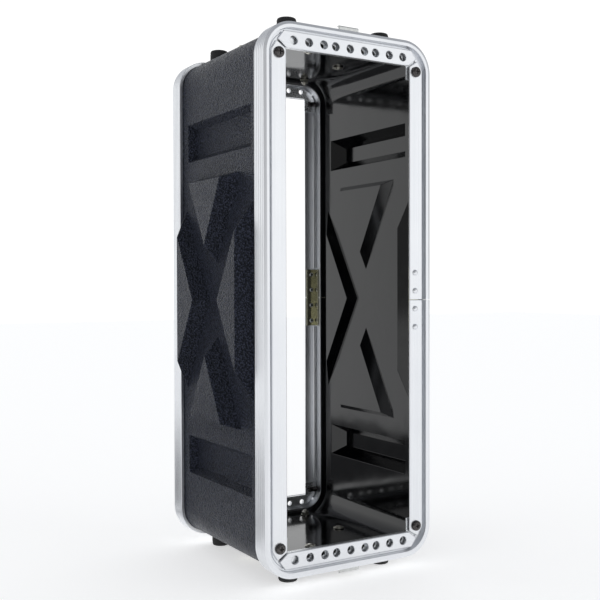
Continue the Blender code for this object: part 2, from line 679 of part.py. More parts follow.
def make_handles():
    """Make a folding handle on each end wall: two saddles, two bolts, rod, grip and rest pad."""
    saddle = saddle_mesh()
    rod_mesh = rod(handle_path(), HANDLE_ROD)
    grip_half = 34.0 * MM
    bore = HANDLE_ROD + GAP
    grip = turned([(bore, grip_half), (GRIP_RADIUS - 1 * MM, grip_half),
                   (GRIP_RADIUS, grip_half - 1.5 * MM), (GRIP_RADIUS, -grip_half + 1.5 * MM),
                   (GRIP_RADIUS - 1 * MM, -grip_half), (bore, -grip_half)], 14, closed=True)
    grip.transform(Matrix.Translation((0, -HANDLE_REACH, GRIP_RISE - HANDLE_PIVOT_RISE))
                   @ Matrix.Rotation(math.pi / 2, 4, "Y"))
    hold, washer, shank = SADDLE_SHEET + SHELL_WALL + 3 * GAP, 5.4 * MM, SCREW_SHANK
    bolt = turned([(0, 2.4 * MM), (2.6 * MM, 2.2 * MM), (4.2 * MM, 0), (shank, 0),
                   (shank, -hold), (washer, -hold), (washer, -hold - 1.2 * MM),
                   (shank, -hold - 1.2 * MM), (shank, -hold - 2.4 * MM),
                   (0, -hold - 2.4 * MM)], 12)
    pad = turned([(0, 1.2 * MM), (5.0 * MM, 1.2 * MM), (6.0 * MM, 0), (0, 0)], 14)
    for level, side in (("top", 1), ("bottom", -1)):
        wall = side * (SHELL_Z + GAP)
        turn = end_turn(side)
        for hand, x in (("left", -HANDLE_BOLT_X), ("right", HANDLE_BOLT_X)):
            add_part(f"handle_saddle_{level}_{hand}", saddle, ZINC, (x, 0, wall), turn)
            seat = wall + side * (SADDLE_SHEET + GAP)
            add_part(f"handle_bolt_{level}_{hand}", bolt, ZINC, (x, HANDLE_BOLT_Y, seat), turn)
        add_part(f"handle_rest_{level}", pad, RUBBER,
                 (REST_PAD_X, HANDLE_PIVOT_Y - HANDLE_REACH, wall), turn)
        pivot = bpy.data.objects.new(f"handle_pivot_{level}", None)
        PARTS.objects.link(pivot)
        pivot.parent = MIDDLE
        pivot.location = (0, HANDLE_PIVOT_Y, side * (SHELL_Z + HANDLE_PIVOT_RISE))
        pivot.rotation_euler = turn
        add_part(f"handle_rod_{level}", rod_mesh, ZINC, parent=pivot)
        add_part(f"handle_grip_{level}", grip, RUBBER, parent=pivot)


make_rings()
make_shell()
make_rack_strips()
make_corner_screws()
make_joints()
make_keepers()
make_feet()
make_handles()
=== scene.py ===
"""Looks of the equipment rack case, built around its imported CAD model.

Lengths are in millimetres in the making of shapes and are scaled to metres by MM.  X is the
direction in which the rack units stack, Y the depth (the front opening faces -Y) and Z the
19-inch width.  Shapes are made around the middle of the case, STAND above the floor.
"""
import math

import bmesh
import bpy
from mathutils import Matrix, Vector
from mathutils.geometry import tessellate_polygon


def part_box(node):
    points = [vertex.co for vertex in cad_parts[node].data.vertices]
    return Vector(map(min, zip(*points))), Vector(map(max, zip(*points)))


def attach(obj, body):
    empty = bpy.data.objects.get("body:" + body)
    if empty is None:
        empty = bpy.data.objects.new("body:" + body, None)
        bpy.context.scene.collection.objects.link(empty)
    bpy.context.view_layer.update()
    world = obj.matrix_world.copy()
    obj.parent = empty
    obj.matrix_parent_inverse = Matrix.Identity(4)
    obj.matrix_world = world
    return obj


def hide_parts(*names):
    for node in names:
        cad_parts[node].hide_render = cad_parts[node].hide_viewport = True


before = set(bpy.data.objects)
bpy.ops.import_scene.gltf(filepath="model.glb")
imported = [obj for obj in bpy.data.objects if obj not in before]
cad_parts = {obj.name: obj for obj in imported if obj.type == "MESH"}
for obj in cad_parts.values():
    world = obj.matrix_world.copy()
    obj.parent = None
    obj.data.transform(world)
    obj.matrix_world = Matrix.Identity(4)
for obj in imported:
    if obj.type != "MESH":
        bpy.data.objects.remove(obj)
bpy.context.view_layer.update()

MM = 0.001
CASE = "case"


# ---- sizes, in millimetres ---------------------------------------------------
def span(node, axis):
    """Return a node's lowest and highest coordinate along an axis, in millimetres."""
    low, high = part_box(node)
    return low[axis] / MM, high[axis] / MM


STAND = sum(span("front_ring", 2)) / 2
HALF_X = span("front_ring", 0)[1]
HALF_Z = span("front_ring", 2)[1] - STAND
RIM_Y = span("front_ring", 1)[0]
RING_CORNER = 30.0
RING_BAND = 19.0
RING_JOINT = 0.5
RIM_WIDTH = 5.6
RIM_CHAMFER = (2.7, 0.9)
GROOVE_FLOOR = 6.0
EXTRUSION_WALL = 1.6
FLUTES = 5
FLUTE_PITCH = 3.4
FLUTE_DEPTH = 0.4
FLANGE_FRONT = 2.2
FLANGE_BACK = 4.0
FLANGE_START = 8.5
FLANGE_WIDTH = 23.6
FLANGE_TIP = (77.2, 231.4)
MITRE_SLIT = 0.8
LEG_FACE = 11.2
LEG_BACK = 15.5
WEB_BACK = 7.4
OPENING_X = HALF_X - FLANGE_WIDTH
OPENING_Z = HALF_Z - FLANGE_WIDTH

SHELL_INSET = 3.6
SHELL_X = HALF_X - SHELL_INSET
SHELL_Z = HALF_Z - SHELL_INSET
SHELL_Y = span("abs_shell", 1)[1]
SHELL_CORNER = RING_CORNER - SHELL_INSET
WALL = 3.0
WALL_BORE = 2.8
PAD_HEIGHT = 15.0
PAD_RECESS = 8.0
POCKET_DEPTH = 8.0
BLOCK_HEIGHT = 15.0
GAP = 0.3

HOLE_ROWS = 465.1
HOLES_X = [unit * 44.45 + offset - 66.675 for unit in range(3)
           for offset in (6.35, 22.225, 38.1)]
RACK_HOLE = 4.0
THREAD_HOLE = 2.6
STRIP_WEB = RIM_Y + 6.4
STRIP_HALF = 68.0
CORNER_SCREW = (75.8, 220.0)
SHANK = 2.4
RIVET_X = 75.0
RIVET_Z = (26.25, 8.75, -8.75, -26.25)
RIVET_SHANK = 1.6
JOINT_SHEET = 1.5
JOINT_HALF = 32.0
FOOT = (52.0, 71.0)
FOOT_HEIGHT = 13.9
FOOT_RADIUS = 9.25
BOLT = (52.5, 3.5)
PIVOT_Y = 12.5
PIVOT_RISE = 3.3
REACH = 52.0
ROD = 2.5
SADDLE_SHEET = 1.5
GRIP_RISE = 7.2
REST_X = -8.5

# turns that carry a piece of the upper front end to the other ends of the rings
RING_TURNS = {"front_top": Matrix.Identity(4), "front_bottom": Matrix.Rotation(math.pi, 4, "Y"),
              "rear_bottom": Matrix.Rotation(math.pi, 4, "X"),
              "rear_top": Matrix.Rotation(math.pi, 4, "Z")}


# ---- objects -----------------------------------------------------------------
def new_object(name, data):
    """Make an object and put it into the scene."""
    made = bpy.data.objects.new(name, data)
    bpy.context.scene.collection.objects.link(made)
    return made


def evaluated(*objects):
    """Return the mesh that the first object comes to, and delete the objects."""
    bpy.context.view_layer.update()
    graph = bpy.context.evaluated_depsgraph_get()
    mesh = bpy.data.meshes.new_from_object(objects[0].evaluated_get(graph))
    for obj in objects:
        bpy.data.objects.remove(obj, do_unlink=True)
    return mesh


# ---- camera, light and floor -------------------------------------------------
def make_camera():
    """Look at the case from its front left, a little above its middle."""
    data = bpy.data.cameras.new("camera")
    data.lens = 56.18
    data.sensor_width = 36.0
    data.shift_x = -0.032
    camera = new_object("camera", data)
    bpy.context.scene.camera = camera
    yaw, pitch, roll = math.radians(31.78), math.radians(-0.97), math.radians(0.12)
    camera.location = (-0.4824, -0.8218, 0.2746)
    turn = Matrix.Rotation(-yaw, 4, "Z") @ Matrix.Rotation(math.pi / 2 + pitch, 4, "X")
    camera.matrix_world = (Matrix.Translation(camera.location) @ turn
                           @ Matrix.Rotation(-roll, 4, "Z"))


def level_sheet(name, low, high, height, colour):
    """Make a level matt sheet of the studio between two (x, y) corners."""
    mesh = bpy.data.meshes.new(name)
    mesh.from_pydata([(low[0], low[1], 0), (high[0], low[1], 0), (high[0], high[1], 0),
                      (low[0], high[1], 0)], [], [(0, 1, 2, 3)])
    piece = new_object(name, mesh)
    piece.location.z = height
    material = bpy.data.materials.new(name)
    material.use_nodes = True
    shader = material.node_tree.nodes["Principled BSDF"]
    shader.inputs["Base Color"].default_value = colour
    shader.inputs["Roughness"].default_value = 0.9
    shader.inputs["Specular IOR Level"].default_value = 0.1
    mesh.materials.append(material)
    return piece, shader


def make_floor():
    """Make the plain pale floor, and the dark cards above it that only reflections see, as
    painted shade in the floor's reflections.
    """
    above = 0.0005
    _, shader = level_sheet("floor", (-6, -6), (6, 6), 0.0, (0.93, 0.93, 0.92, 1))
    shader.inputs["Emission Color"].default_value = (1, 1, 1, 1)
    shader.inputs["Emission Strength"].default_value = 0.55
    # painted reflection: the cards darken the floor only where the case reflects it; camera
    # rays, diffuse light and shadows pass through them
    for name, low, high, shade in (("card_left", (-0.55, 0.06), (-0.12, 0.20), 0.40),
                                   ("card_behind", (-0.38, 0.25), (0.04, 0.95), 0.22)):
        card, _ = level_sheet(name, low, high, above, (shade, shade, shade * 1.03, 1))
        card.visible_camera = False
        card.visible_diffuse = False
        card.visible_shadow = False


def make_world():
    """Surround the case with a studio whose walls differ in brightness; it looks plain white."""
    world = bpy.data.worlds.new("studio")
    world.use_nodes = True
    tree = world.node_tree
    new, link = tree.nodes.new, tree.links.new
    lit, seen = tree.nodes["Background"], new("ShaderNodeBackground")
    seen.inputs["Color"].default_value = (1, 1, 1, 1)
    seen.inputs["Strength"].default_value = 1.1
    around = new("ShaderNodeTexGradient")
    around.gradient_type = "RADIAL"
    place = new("ShaderNodeTexCoord")
    link(place.outputs["Generated"], around.inputs["Vector"])
    walls = new("ShaderNodeValToRGB")
    link(around.outputs[1], walls.inputs["Fac"])
    while len(walls.color_ramp.elements) > 1:
        walls.color_ramp.elements.remove(walls.color_ramp.elements[-1])
    # turn round Z as a share of a circle, counted from -X by way of -Y, and brightness there
    stops = ((0.0, 0.62), (0.07, 0.26), (0.18, 0.20), (0.26, 0.60), (0.31, 1.0), (0.37, 1.0),
             (0.44, 0.50), (0.52, 0.60), (0.60, 1.0), (0.73, 1.0), (0.81, 0.90), (0.92, 0.84),
             (1.0, 0.62))
    for number, (turn, shade) in enumerate(stops):
        if number:
            walls.color_ramp.elements.new(turn)
        walls.color_ramp.elements[number].position = turn
        walls.color_ramp.elements[number].color = (shade * 0.985, shade * 0.995, shade, 1)
    # higher up the walls turn into a darker ceiling
    height = new("ShaderNodeSeparateXYZ")
    link(place.outputs["Generated"], height.inputs[0])
    ceiling = new("ShaderNodeMapRange")
    for key, number in zip(("From Min", "From Max", "To Min", "To Max"), (0.30, 0.62, 0, 1)):
        ceiling.inputs[key].default_value = number
    link(height.outputs["Z"], ceiling.inputs["Value"])
    mix = new("ShaderNodeMix")
    mix.data_type = "RGBA"
    link(ceiling.outputs["Result"], mix.inputs["Factor"])
    link(walls.outputs["Color"], mix.inputs[6])
    mix.inputs[7].default_value = (0.30, 0.31, 0.33, 1)
    link(mix.outputs[2], lit.inputs["Color"])
    lit.inputs["Strength"].default_value = 1.15
    choice = new("ShaderNodeMixShader")
    rays = new("ShaderNodeLightPath")
    link(rays.outputs["Is Camera Ray"], choice.inputs["Fac"])
    link(lit.outputs["Background"], choice.inputs[1])
    link(seen.outputs["Background"], choice.inputs[2])
    link(choice.outputs["Shader"], tree.nodes["World Output"].inputs["Surface"])
    bpy.context.scene.world = world
    bpy.context.scene.view_settings.view_transform = "Standard"


# ---- materials ---------------------------------------------------------------
class Nodes:
    """Short calls for making a material's node tree.

    Patterns are scaled in features per millimetre, and bumps are millimetres high.
    """

    def __init__(self, name, metallic=0.0, specular=0.5):
        self.material = bpy.data.materials.new(name)
        self.material.use_nodes = True
        self.tree = self.material.node_tree
        self.shader = self.tree.nodes["Principled BSDF"]
        self.shader.inputs["Metallic"].default_value = metallic
        self.shader.inputs["Specular IOR Level"].default_value = specular

    def add(self, kind, **values):
        """Add a node; values are its properties, or its inputs where they have no property."""
        node = self.tree.nodes.new("ShaderNode" + kind)
        for key, value in values.items():
            if hasattr(node, key):
                setattr(node, key, value)
            else:
                node.inputs[key.replace("_", " ").title()].default_value = value
        return node

    def link(self, out, into):
        """Join an output socket to an input socket."""
        self.tree.links.new(out, into)

    def place(self, scale, layout=None):
        """Return the object's coordinates in millimetres, times scale.

        With a layout, they are that attribute's, and scale has a number for each direction.
        """
        if layout:
            source = self.add("Attribute", attribute_name=layout).outputs["Vector"]
            factor = Vector(scale)
        else:
            source = self.add("TexCoord").outputs["Object"]
            factor = Vector((scale, scale, scale)) / MM
        spread = self.add("VectorMath", operation="MULTIPLY")
        self.link(source, spread.inputs[0])
        spread.inputs[1].default_value = factor
        return spread.outputs["Vector"]

    def noise(self, scale, detail=3.0, roughness=0.55, layout=None):
        """Return the value of a noise pattern; scale and layout are those of place."""
        place = self.place(scale, layout)
        node = self.add("TexNoise", scale=1.0, detail=detail, roughness=roughness)
        self.link(place, node.inputs["Vector"])
        return node.outputs[0]

    def mapped(self, value, low, high, start=0.3, end=0.7):
        """Return a value carried from start..end to low..high."""
        node = self.add("MapRange")
        for key, number in zip(("From Min", "From Max", "To Min", "To Max"),
                               (start, end, low, high)):
            node.inputs[key].default_value = number
        self.link(value, node.inputs["Value"])
        return node.outputs["Result"]

    def tint(self, value, low, high, start=0.3, end=0.7):
        """Colour the surface from low to high as a value goes from start to end."""
        ramp = self.add("ValToRGB")
        ramp.color_ramp.elements[0].position = start
        ramp.color_ramp.elements[0].color = (*low, 1)
        ramp.color_ramp.elements[1].position = end
        ramp.color_ramp.elements[1].color = (*high, 1)
        self.link(value, ramp.inputs["Fac"])
        self.link(ramp.outputs["Color"], self.shader.inputs["Base Color"])

    def rough(self, value, low, high, start=0.3, end=0.7):
        """Vary the roughness with a value."""
        self.link(self.mapped(value, low, high, start, end), self.shader.inputs["Roughness"])

    def bump(self, value, depth, under=None):
        """Raise the surface by depth millimetres times a value, over an earlier bump."""
        node = self.add("Bump", strength=1.0, distance=depth * MM)
        self.link(value, node.inputs["Height"])
        if under is not None:
            self.link(under, node.inputs["Normal"])
        self.link(node.outputs["Normal"], self.shader.inputs["Normal"])
        return node.outputs["Normal"]


def grained_abs_with_painted_sparkle():
    """Black ABS with a moulded leather grain, as on the outside of the body; the grain's tops
    carry a painted highlight.
    """
    nodes = Nodes("abs_grained_with_painted_sparkle", specular=0.27)
    cells = nodes.add("TexVoronoi", feature="SMOOTH_F1", scale=1.0)
    cells.inputs["Smoothness"].default_value = 0.3
    warp = nodes.add("VectorMath", operation="ADD")
    nodes.link(nodes.place(0.62), warp.inputs[0])
    bend = nodes.add("TexNoise", scale=0.6, detail=2.0)
    nodes.link(nodes.place(1.0), bend.inputs["Vector"])
    nodes.link(bend.outputs["Color"], warp.inputs[1])
    nodes.link(warp.outputs["Vector"], cells.inputs["Vector"])
    # painted highlight: the pebbles' tops are coloured lighter and bluish for the glints of
    # light on the grain; the dark end is the plastic's own black
    nodes.tint(cells.outputs["Distance"], (0.070, 0.078, 0.120), (0.006, 0.007, 0.011),
               0.1, 0.6)
    nodes.rough(nodes.noise(0.12, 3.0), 0.26, 0.38)
    nodes.shader.inputs["Specular Tint"].default_value = (0.74, 0.83, 1.0, 1)
    pebble = nodes.bump(nodes.mapped(cells.outputs["Distance"], 1.0, 0.0, 0.0, 0.9), 2.0)
    nodes.bump(nodes.noise(1.7, 2.0), 0.2, pebble)
    return nodes.material


def glossy_abs():
    """Black ABS as it is inside the body: smooth, glossy and very slightly wavy."""
    nodes = Nodes("abs_glossy", specular=0.60)
    nodes.tint(nodes.noise(0.015, 3.0), (0.0012, 0.0014, 0.0020), (0.0026, 0.0029, 0.0036))
    nodes.rough(nodes.noise(0.05, 4.0), 0.07, 0.14)
    wave = nodes.bump(nodes.noise(0.018, 1.0), 0.35)
    nodes.bump(nodes.noise(0.9, 2.0), 0.004, wave)
    return nodes.material


def satin_aluminium():
    """Clear anodised aluminium with the fine lines that extruding leaves along its length."""
    nodes = Nodes("aluminium_satin", metallic=1.0)
    lines = nodes.noise((0.004, 3.2, 0.0), 4.0, layout="lay")
    cloud = nodes.noise(0.02, 3.0)
    nodes.tint(cloud, (0.815, 0.83, 0.86), (0.845, 0.86, 0.885))
    nodes.rough(lines, 0.24, 0.40)
    nodes.bump(lines, 0.006)
    return nodes.material


def plated_zinc(name, colour, roughness, metallic=1.0):
    """Zinc plated steel with its crystal bloom, tinted by the passivation."""
    nodes = Nodes(name, metallic)
    bloom = nodes.noise(0.35, 5.0, 0.65)
    nodes.tint(bloom, tuple(part * 0.86 for part in colour),
               tuple(min(1.0, part * 1.08) for part in colour))
    nodes.rough(nodes.noise(1.2, 3.0), roughness - 0.06, roughness + 0.1)
    nodes.bump(nodes.noise(2.5, 2.0), 0.006)
    return nodes.material


def black_oxide_and_bore_shade():
    """Blackened steel, faintly worn; the rivets' bores also take it as painted shade."""
    nodes = Nodes("black_oxide_and_bore_shade", metallic=0.85)
    wear = nodes.noise(0.8, 5.0, 0.6)
    nodes.tint(wear, (0.05, 0.047, 0.046), (0.16, 0.15, 0.15), 0.4, 0.75)
    nodes.rough(wear, 0.16, 0.34)
    nodes.bump(nodes.noise(3.0, 2.0), 0.008)
    return nodes.material


def matt_rubber():
    """Black moulded rubber with a dusty surface."""
    nodes = Nodes("rubber_matt", specular=0.35)
    dust = nodes.noise(0.25, 5.0, 0.6)
    nodes.tint(dust, (0.015, 0.015, 0.016), (0.034, 0.034, 0.034))
    nodes.rough(dust, 0.62, 0.82)
    nodes.bump(nodes.noise(4.0, 3.0), 0.02)
    return nodes.material


# ---- shapes ------------------------------------------------------------------
class Shape:
    """The points and faces of a piece while it is made, in millimetres."""

    def __init__(self):
        self.points = []
        self.lay = []
        self.faces = []
        self.finish = []
        self.slot = 0

    def ring(self, points, lay=None):
        """Add a ring of points and return their numbers."""
        start = len(self.points)
        self.points += [Vector(point) for point in points]
        self.lay += lay or [(0.0, 0.0, 0.0)] * len(points)
        return list(range(start, len(self.points)))

    def face(self, corners):
        """Add a face in the current finish."""
        self.faces.append(tuple(corners))
        self.finish.append(self.slot)

    def bridge(self, first, second, closed=True):
        """Join two rings of the same length with four-sided faces."""
        count = len(first)
        for i in range(count if closed else count - 1):
            j = (i + 1) % count
            self.face((first[i], first[j], second[j], second[i]))

    def fill(self, rings):
        """Fill the first ring, less the others, with flat triangles."""
        order = [i for ring in rings for i in ring]
        loops = [[self.points[i] for i in ring] for ring in rings]
        for triangle in tessellate_polygon(loops):
            self.face([order[i] for i in triangle])

    def take(self, work):
        """Add what a bmesh holds, and free it."""
        start = len(self.points)
        work.verts.index_update()
        self.ring([vertex.co for vertex in work.verts])
        for face in work.faces:
            self.face([start + vertex.index for vertex in face.verts])
        work.free()

    def mesh(self, name):
        """Return the mesh, in metres, with its faces turned outwards."""
        mesh = bpy.data.meshes.new(name)
        mesh.from_pydata([tuple(point * MM) for point in self.points], [], self.faces)
        mesh.polygons.foreach_set("material_index", self.finish)
        lay = mesh.attributes.new("lay", "FLOAT_VECTOR", "POINT")
        lay.data.foreach_set("vector", [part for row in self.lay for part in row])
        work = bmesh.new()
        work.from_mesh(mesh)
        bmesh.ops.recalc_face_normals(work, faces=work.faces)
        work.to_mesh(mesh)
        work.free()
        return mesh


def put(name, mesh, materials, nodes, turn=None, place=(0, 0, 0), body=CASE, sharp=38):
    """Show a mesh as a piece of the case, standing for some CAD nodes."""
    turn = turn or Matrix.Identity(4)
    mesh = mesh.copy()
    mesh.transform(Matrix.Translation(Vector(place) * MM) @ turn)
    mesh.transform(Matrix.Translation((0, 0, STAND * MM)))
    mesh.name = name
    mesh.shade_smooth()
    mesh.set_sharp_from_angle(angle=math.radians(sharp))
    for material in materials:
        mesh.materials.append(material)
    piece = new_object(name, mesh)
    even = piece.modifiers.new("even", "WEIGHTED_NORMAL")
    even.keep_sharp = True
    even.weight = 100
    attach(piece, body)
    if nodes:
        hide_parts(*nodes)
    return piece


def rounded(corners, radius, steps):
    """Return a polygon with each corner rounded; radius is one number or one for each corner."""
    count = len(corners)
    radii = radius if isinstance(radius, (list, tuple)) else [radius] * count
    points = []
    for i in range(count):
        before, at, after = (Vector(corners[(i + step) % count]) for step in (-1, 0, 1))
        if radii[i] <= 0:
            points.append(at)
            continue
        back, on = (before - at).normalized(), (after - at).normalized()
        half = back.angle(on) / 2
        centre = at + (back + on).normalized() * (radii[i] / math.sin(half))
        start = at + back * (radii[i] / math.tan(half)) - centre
        end = at + on * (radii[i] / math.tan(half)) - centre
        first = math.atan2(start.y, start.x)
        sweep = (math.atan2(end.y, end.x) - first + math.pi) % (2 * math.pi) - math.pi
        for k in range(steps + 1):
            angle = first + sweep * k / steps
            points.append(centre + Vector((math.cos(angle), math.sin(angle))) * radii[i])
    return points


def moved_outline(outline, distance):
    """Return a simple outline with every side moved outwards by a distance."""
    count = len(outline)
    area = sum(outline[i][0] * outline[(i + 1) % count][1]
               - outline[(i + 1) % count][0] * outline[i][1] for i in range(count))
    turn = 1 if area > 0 else -1
    moved = []
    for i in range(count):
        before, at, after = (Vector(outline[(i + step) % count]) for step in (-1, 0, 1))
        one, two = (at - before).normalized(), (after - at).normalized()
        one, two = Vector((one.y, -one.x)) * turn, Vector((two.y, -two.x)) * turn
        moved.append(at + (one + two) * (distance / (1 + one.dot(two))))
    return moved


def circle(centre, radius, steps=28):
    """Return a circle's points."""
    return [Vector((centre[0] + radius * math.cos(2 * math.pi * i / steps),
                    centre[1] + radius * math.sin(2 * math.pi * i / steps)))
            for i in range(steps)]


def sheet(shape, outline, holes, near, far, edge=0.25, across=0, rim=0.25):
    """Add a flat sheet, in X and Z, between two depths, with holes and softened edges.

    Holes are (centre, radius), softened by rim; edge softens the outline.  across says which
    of the outline's two coordinates lies across the extruding direction.
    """
    loops = [(moved_outline(outline, -edge), outline, edge)]
    loops += [(circle(centre, radius + rim), circle(centre, radius), rim)
              for centre, radius in holes]
    caps = {near: [], far: []}
    for soft, hard, drop in loops:
        rings = []
        for depth, points in ((near, soft), (near + drop, hard), (far - drop, hard),
                              (far, soft)):
            lay = [(point[1 - across], point[across], 0.0) for point in points]
            rings.append(shape.ring([(x, depth, z) for x, z in points], lay))
        for first, second in zip(rings, rings[1:]):
            shape.bridge(first, second)
        caps[near].append(rings[0])
        caps[far].append(rings[-1])
    for rings in caps.values():
        shape.fill(rings)


def block(shape, low, high, edge=0.3):
    """Add a box with softened edges."""
    work = bmesh.new()
    size = Vector(high) - Vector(low)
    place = Matrix.Translation((Vector(high) + Vector(low)) / 2)
    bmesh.ops.create_cube(work, size=1.0, matrix=place @ Matrix.Diagonal((*size, 1)))
    bmesh.ops.bevel(work, geom=work.edges[:], offset=edge, segments=2, profile=0.5,
                    affect="EDGES")
    shape.take(work)


def prism(shape, outline, low, high, axis, edge):
    """Add a prism along an axis from an outline in the other two, with softened edges."""
    caps = []
    for place, inset in ((low, edge), (low + edge, 0), (high - edge, 0), (high, edge)):
        points = []
        for pair in moved_outline(outline, -inset) if inset else outline:
            point = list(pair)
            point.insert(axis, place)
            points.append(point)
        caps.append(shape.ring(points))
    for first, second in zip(caps, caps[1:]):
        shape.bridge(first, second)
    shape.fill([caps[0]])
    shape.fill([caps[-1]])


def turned(shape, profile, steps=40, centre=(0, 0)):
    """Add the solid that an (r, z) profile makes when it is turned round Z."""
    rings = []
    for radius, height in profile:
        if radius <= 0:
            rings.append(shape.ring([(centre[0], centre[1], height)]))
        else:
            rings.append(shape.ring([(x, y, height)
                                     for x, y in circle(centre, radius, steps)]))
    for first, second in zip(rings, rings[1:]):
        if len(first) == 1 or len(second) == 1:
            tip, base = (first, second) if len(first) == 1 else (second, first)
            for i in range(steps):
                shape.face((tip[0], base[i], base[(i + 1) % steps]))
        else:
            shape.bridge(first, second)


def arc(centre, radius, start, end, steps):
    """Return points on an arc between two angles in degrees."""
    return [(centre[0] + radius * math.cos(math.radians(start + (end - start) * i / steps)),
             centre[1] + radius * math.sin(math.radians(start + (end - start) * i / steps)))
            for i in range(steps + 1)]


def carved(mesh, tool, operation="DIFFERENCE"):
    """Return a mesh cut by, or joined with, another."""
    body, helper = new_object("body", mesh), new_object("helper", tool)
    step = body.modifiers.new("step", "BOOLEAN")
    step.operation = operation
    step.solver = "EXACT"
    step.object = helper
    return evaluated(body, helper)


# ---- aluminium rings ---------------------------------------------------------
def ring_section():
    """Return the fine section of the extrusion: (inward from the outside, back from the rim)."""
    wall, lip, root, half = EXTRUSION_WALL, SHELL_INSET - GAP, FLANGE_BACK + 0.2, 0.35
    web = WEB_BACK - GROOVE_FLOOR
    side, leg = RIM_WIDTH - web, LEG_FACE - 1.5
    corners = [(lip, RING_BAND, 0.2), (0, RING_BAND, 0.5)]
    for flute in range(FLUTES):
        back = RING_BAND - 1.8 - FLUTE_PITCH * flute
        corners += [(0, back + half, 0.15), (FLUTE_DEPTH, back, 0.1), (0, back - half, 0.15)]
    corners += [(0, RIM_CHAMFER[1], 0.3), (RIM_CHAMFER[0], 0, 0.3), (RIM_WIDTH, 0, 0.5),
                (RIM_WIDTH, GROOVE_FLOOR, 0.4), (FLANGE_START, GROOVE_FLOOR, 0.4),
                (FLANGE_START, root, 0.2), (LEG_FACE, root, 0.2), (LEG_FACE, LEG_BACK, 0.4),
                (leg, LEG_BACK, 0.4), (leg, WEB_BACK, 0.2), (side, WEB_BACK, 0.4),
                (side, wall, 0.2), (wall, wall, 0.2), (wall, RING_BAND - web, 0.2),
                (lip, RING_BAND - web, 0.2)]
    return rounded([corner[:2] for corner in corners], [corner[2] for corner in corners], 3)


def ring_path():
    """Return the (outside point, inward direction) pairs along the ring, slit to slit."""
    steps = 24
    path = [((HALF_X, RING_JOINT / 2), (-1, 0))]
    for corner, (side_x, side_z) in enumerate(((1, 1), (-1, 1), (-1, -1), (1, -1))):
        centre = Vector((side_x * (HALF_X - RING_CORNER), side_z * (HALF_Z - RING_CORNER)))
        for i in range(steps + 1):
            angle = math.pi / 2 * (corner + i / steps)
            out = Vector((math.cos(angle), math.sin(angle)))
            path.append((centre + out * RING_CORNER, -out))
    path.append(((HALF_X, -RING_JOINT / 2), (-1, 0)))
    return [(Vector(at), Vector(inward)) for at, inward in path]


def ring_mesh():
    """Return the front ring: bent extrusion, mitred flange with its holes, open joint."""
    shape = Shape()
    section = ring_section()
    across = [0.0]
    for one, two in zip(section, section[1:]):
        across.append(across[-1] + (Vector(two) - Vector(one)).length)
    along, rings, last = 0.0, [], None
    for at, inward in ring_path():
        if last is not None:
            along += (at - last).length
        last = at
        points = [(*(at + inward * s), RIM_Y + b) for s, b in section]
        rings.append(shape.ring([(x, y, z) for x, z, y in points],
                                [(along, distance, 0.0) for distance in across]))
    for first, second in zip(rings, rings[1:]):
        shape.bridge(first, second)
    shape.fill([rings[0]])
    shape.fill([rings[-1]])
    add_flanges(shape)
    return shape.mesh("ring")


def add_flanges(shape):
    """Add the four flange plates, mitred at the corners, and the roots that carry them."""
    near, far = RIM_Y + FLANGE_FRONT, RIM_Y + FLANGE_BACK
    edge_x, edge_z = HALF_X - FLANGE_START, HALF_Z - FLANGE_START
    slit, joint, tip, soft = MITRE_SLIT, RING_JOINT / 2, FLANGE_TIP, 0.55
    root_x, root_z, bore = 62.0, 218.0, SHANK + 0.4
    end = [(OPENING_X - slit, OPENING_Z), (tip[0] - slit, tip[1] + slit), (70.5, edge_z)]
    side = [(OPENING_X, OPENING_Z - slit), (tip[0] + slit, tip[1] - slit), (edge_x, 222.0)]
    screw_x, screw_z = CORNER_SCREW
    for sign in (1, -1):
        outline = [(x, sign * z) for x, z in end]
        outline += [(-x, sign * z) for x, z in reversed(end)]
        holes = [((x, sign * HOLE_ROWS / 2), RACK_HOLE) for x in HOLES_X]
        sheet(shape, outline, holes, near, far, soft, 1)
        low, high = sorted((sign * (HALF_Z - LEG_FACE), sign * edge_z))
        block(shape, (-root_x, far - 1.0, low), (root_x, far + 1.0, high), 0.1)
    outline = [(-x, z) for x, z in side] + [(-x, -z) for x, z in reversed(side)]
    holes = [((-screw_x, screw_z), bore), ((-screw_x, -screw_z), bore)]
    sheet(shape, outline, holes, near, far, soft)
    block(shape, (-edge_x, far - 1.0, -root_z), (LEG_FACE - HALF_X, far + 1.0, root_z), 0.1)
    for sign in (1, -1):
        outline = [(x, sign * z) for x, z in side]
        outline += [(edge_x, sign * joint), (OPENING_X, sign * joint)]
        holes = [((screw_x, sign * screw_z), bore)]
        holes += [((RIVET_X, sign * z), RIVET_SHANK + GAP) for z in RIVET_Z if z > 0]
        sheet(shape, outline, holes, near, far, soft)
        low, high = sorted((sign * joint, sign * root_z))
        block(shape, (HALF_X - LEG_FACE, far - 1.0, low), (edge_x, far + 1.0, high), 0.1)
        low, high = sorted((sign * (JOINT_HALF + 2), sign * (root_z - 10)))
        for hand in (1, -1):
            prism(shape, inner_fillet(hand), low, high, 2, 0.05)


def inner_fillet(hand):
    """Return the (x, y) outline of the fillet between a side flange's back and the leg."""
    radius, sunk = 3.0, 0.15
    corner = (LEG_FACE + radius, FLANGE_BACK + radius)
    outline = [(LEG_FACE - sunk, FLANGE_BACK - sunk), (LEG_FACE + radius, FLANGE_BACK - sunk)]
    outline += arc(corner, radius, 270, 180, 8)
    outline.append((LEG_FACE - sunk, FLANGE_BACK + radius))
    return [Vector((hand * (HALF_X - s), RIM_Y + b)) for s, b in outline]


def make_rings(aluminium):
    """Show the two rings; the rear one is the front one turned round X."""
    mesh = ring_mesh()
    put("front_ring_fine", mesh, [aluminium], ["front_ring"])
    put("rear_ring_fine", mesh, [aluminium], ["rear_ring"],
        RING_TURNS["rear_bottom"])


